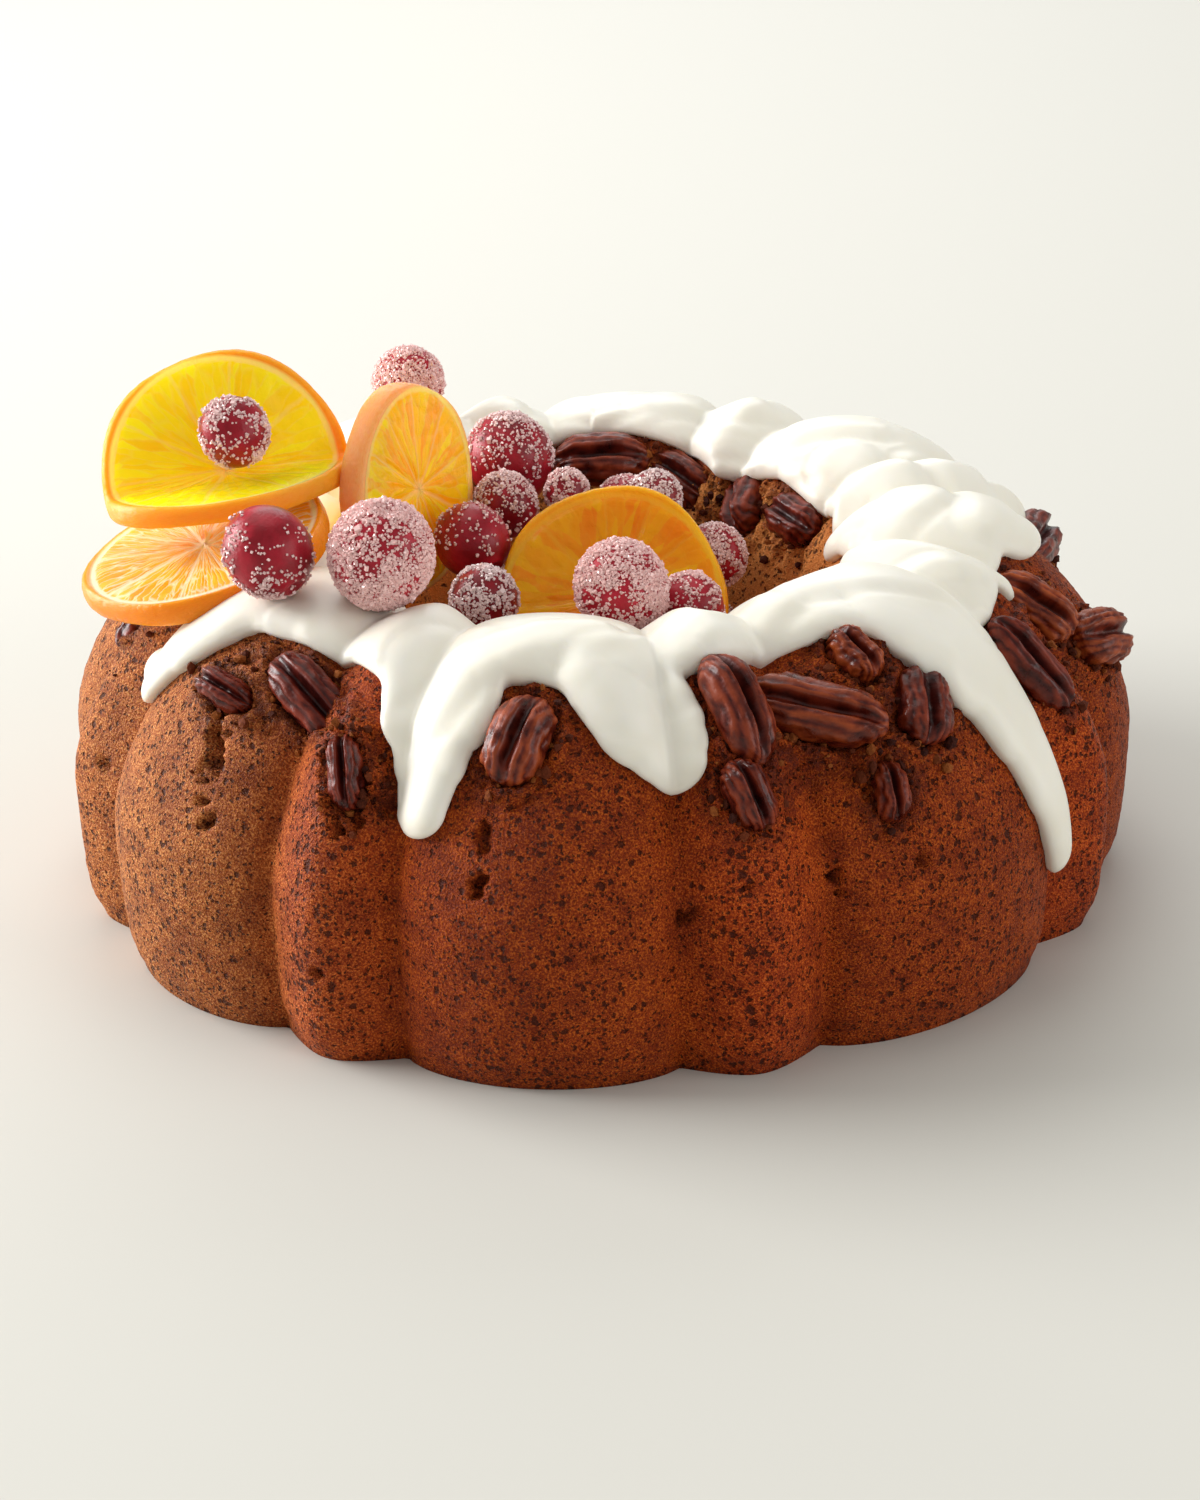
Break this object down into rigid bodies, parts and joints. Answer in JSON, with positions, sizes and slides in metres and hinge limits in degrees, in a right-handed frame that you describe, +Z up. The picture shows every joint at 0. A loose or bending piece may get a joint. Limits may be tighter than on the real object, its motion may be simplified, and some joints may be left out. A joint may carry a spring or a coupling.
{
  "type": "fluted ring cake with cranberries",
  "caption": "Fluted ring cake with white icing, pecan halves, sugared cranberries and orange slices, its hole filled with berries.",
  "frame": {"origin": "middle of the cake's flat underside", "axes": "+Z up through the hole, -Y towards the dressed side shown in the picture, +X to its right"},
  "size_m": [0.2333, 0.2332, 0.117],
  "materials": {
    "crust": "matte",
    "icing": "satin",
    "pecan": "satin",
    "cranberry": "matte",
    "orange": "glossy"
  },
  "bodies": {
    "root": {"berry_heap": "cranberry", "cake": "crust", "cranberry_01": "cranberry", "cranberry_02": "cranberry", "cranberry_03": "cranberry", "cranberry_04": "cranberry", "cranberry_05": "cranberry", "cranberry_06": "cranberry", "cranberry_07": "cranberry", "cranberry_08": "cranberry", "cranberry_09": "cranberry", "cranberry_10": "cranberry", "cranberry_11": "cranberry", "cranberry_12": "cranberry", "cranberry_13": "cranberry", "icing": "icing", "orange_slice_back": "orange", "orange_slice_hole": "orange", "orange_slice_left": "orange", "orange_slice_side": "orange", "pecan_01": "pecan", "pecan_02": "pecan", "pecan_03": "pecan", "pecan_04": "pecan", "pecan_05": "pecan", "pecan_06": "pecan", "pecan_07": "pecan", "pecan_08": "pecan", "pecan_09": "pecan", "pecan_10": "pecan", "pecan_11": "pecan", "pecan_12": "pecan", "pecan_13": "pecan", "pecan_14": "pecan", "pecan_15": "pecan", "pecan_16": "pecan", "pecan_17": "pecan", "pecan_18": "pecan", "pecan_19": "pecan", "pecan_20": "pecan", "pecan_21": "pecan", "pecan_22": "pecan", "pecan_23": "pecan"}
  },
  "joints": []
}
